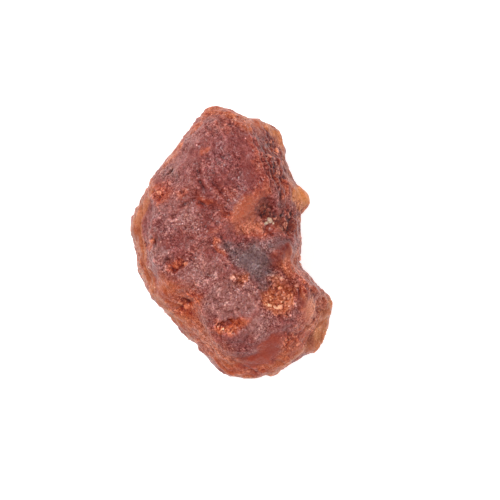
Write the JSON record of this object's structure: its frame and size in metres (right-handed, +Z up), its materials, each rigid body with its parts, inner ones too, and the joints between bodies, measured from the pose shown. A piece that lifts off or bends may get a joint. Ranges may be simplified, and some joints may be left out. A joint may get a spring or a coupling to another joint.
{
  "type": "rough garnet",
  "caption": "Uncut water-worn garnet: a flattened bean-shaped stone with a frosted broad face, a lower ledge, a deep hollow, a small knob and thin translucent edges.",
  "frame": {"origin": "on the surface the stone rests on, below the middle of its box", "axes": "+Z up out of the broad face, +Y along the stone's long side towards its pointed end, +X towards the knob and bay"},
  "size_m": [0.0182, 0.0244, 0.0105],
  "materials": {
    "garnet_stone": "frosted mauve-red face with clear orange-amber thin edges"
  },
  "bodies": {
    "root": {"garnet": "garnet_stone"}
  },
  "joints": []
}
